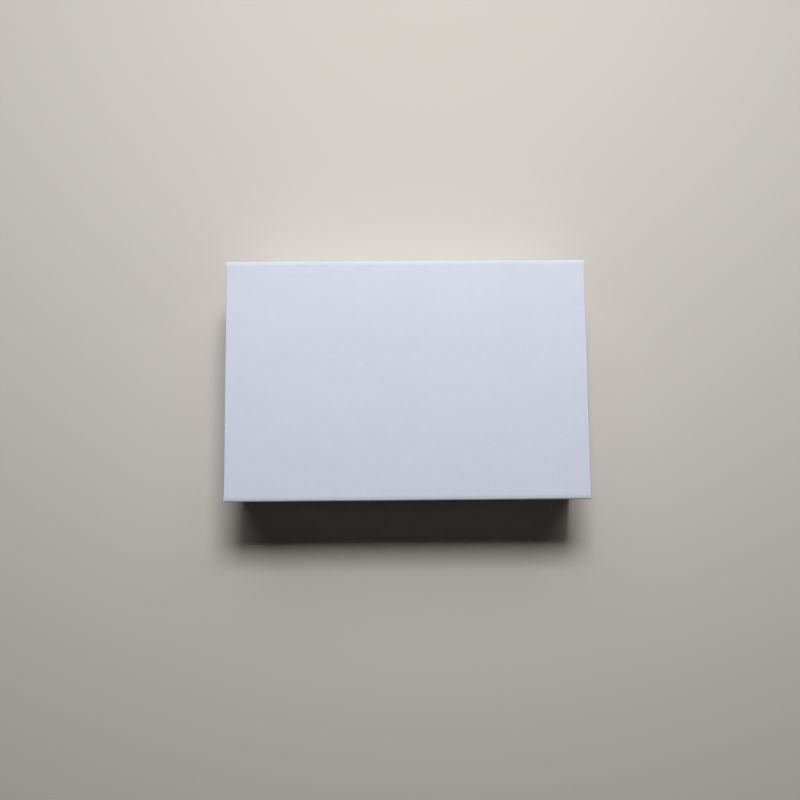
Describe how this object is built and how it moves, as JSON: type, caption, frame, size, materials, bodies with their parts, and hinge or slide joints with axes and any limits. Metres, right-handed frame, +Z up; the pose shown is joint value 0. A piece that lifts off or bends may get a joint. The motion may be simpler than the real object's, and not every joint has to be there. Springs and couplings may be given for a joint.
{
  "type": "jewelry gift box",
  "caption": "Rigid white book-style gift box for jewelry: hinged cover, magnetic front flap, lined tray, velvet insert with slits, padded cover lining and a pull ribbon.",
  "frame": {"origin": "centre of the underside of the closed box", "axes": "+Z up out of the cover, +X along the long side, -Y towards the front flap, +Y towards the spine"},
  "size_m": [0.18, 0.12, 0.05],
  "materials": {
    "white_paper": "matt white textured cover paper",
    "liner_paper": "matt white plain lining paper",
    "greyboard": "raw grey pulp board",
    "tape_paper": "brown paper corner tape",
    "steel": "punched sheet",
    "magnet": "nickel-plated",
    "foam": "open-cell cushion foam",
    "velvet": "short-pile off-white velvet",
    "ribbon": "white satin ribbon",
    "satin": "white satin over thin foam"
  },
  "bodies": {
    "root": {"case_bottom_board": "greyboard", "case_wrap_bottom": "white_paper", "case_spine_board": "greyboard", "case_wrap_spine": "white_paper", "spine_liner": "liner_paper", "bottom_fold_paper": "white_paper", "tray_floor_board": "greyboard", "tray_floor_liner": "liner_paper", "tray_back_board": "greyboard", "tray_left_board": "greyboard", "tray_right_board": "greyboard", "tray_front_board": "greyboard", "strike_plates": "steel", "tray_corner_tapes": "tape_paper", "tray_wrap": "white_paper", "insert_base_card": "greyboard", "insert_foam": "foam", "insert_velvet": "velvet", "pull_ribbon_strap": "ribbon", "back_hinge_paper": "white_paper"},
    "cover": {"cover_board": "greyboard", "cover_wrap": "white_paper", "cover_liner": "liner_paper", "cover_pad_card": "greyboard", "cover_pad_cushion": "satin", "front_hinge_paper": "white_paper"},
    "flap": {"flap_board": "greyboard", "flap_magnets": "magnet", "flap_wrap": "white_paper", "flap_liner": "liner_paper"},
    "pull_tab": {"pull_ribbon_tab": "ribbon"}
  },
  "joints": [
    {"name": "cover_hinge", "type": "hinge", "parent": "root", "child": "cover", "pos_m": [0, 0.05935, 0.04935], "axis": [-1, 0, 0], "range_deg": [0, 180], "deforming": ["back_hinge_paper"]},
    {"name": "flap_hinge", "type": "hinge", "parent": "cover", "child": "flap", "pos_m": [0, -0.05935, 0.04935], "axis": [-1, 0, 0], "range_deg": [0, 120], "deforming": ["front_hinge_paper"]},
    {"name": "pull_tab_hinge", "type": "hinge", "parent": "root", "child": "pull_tab", "pos_m": [0, -0.0536, 0.0319], "axis": [1, 0, 0], "range_deg": [0, 90]}
  ]
}
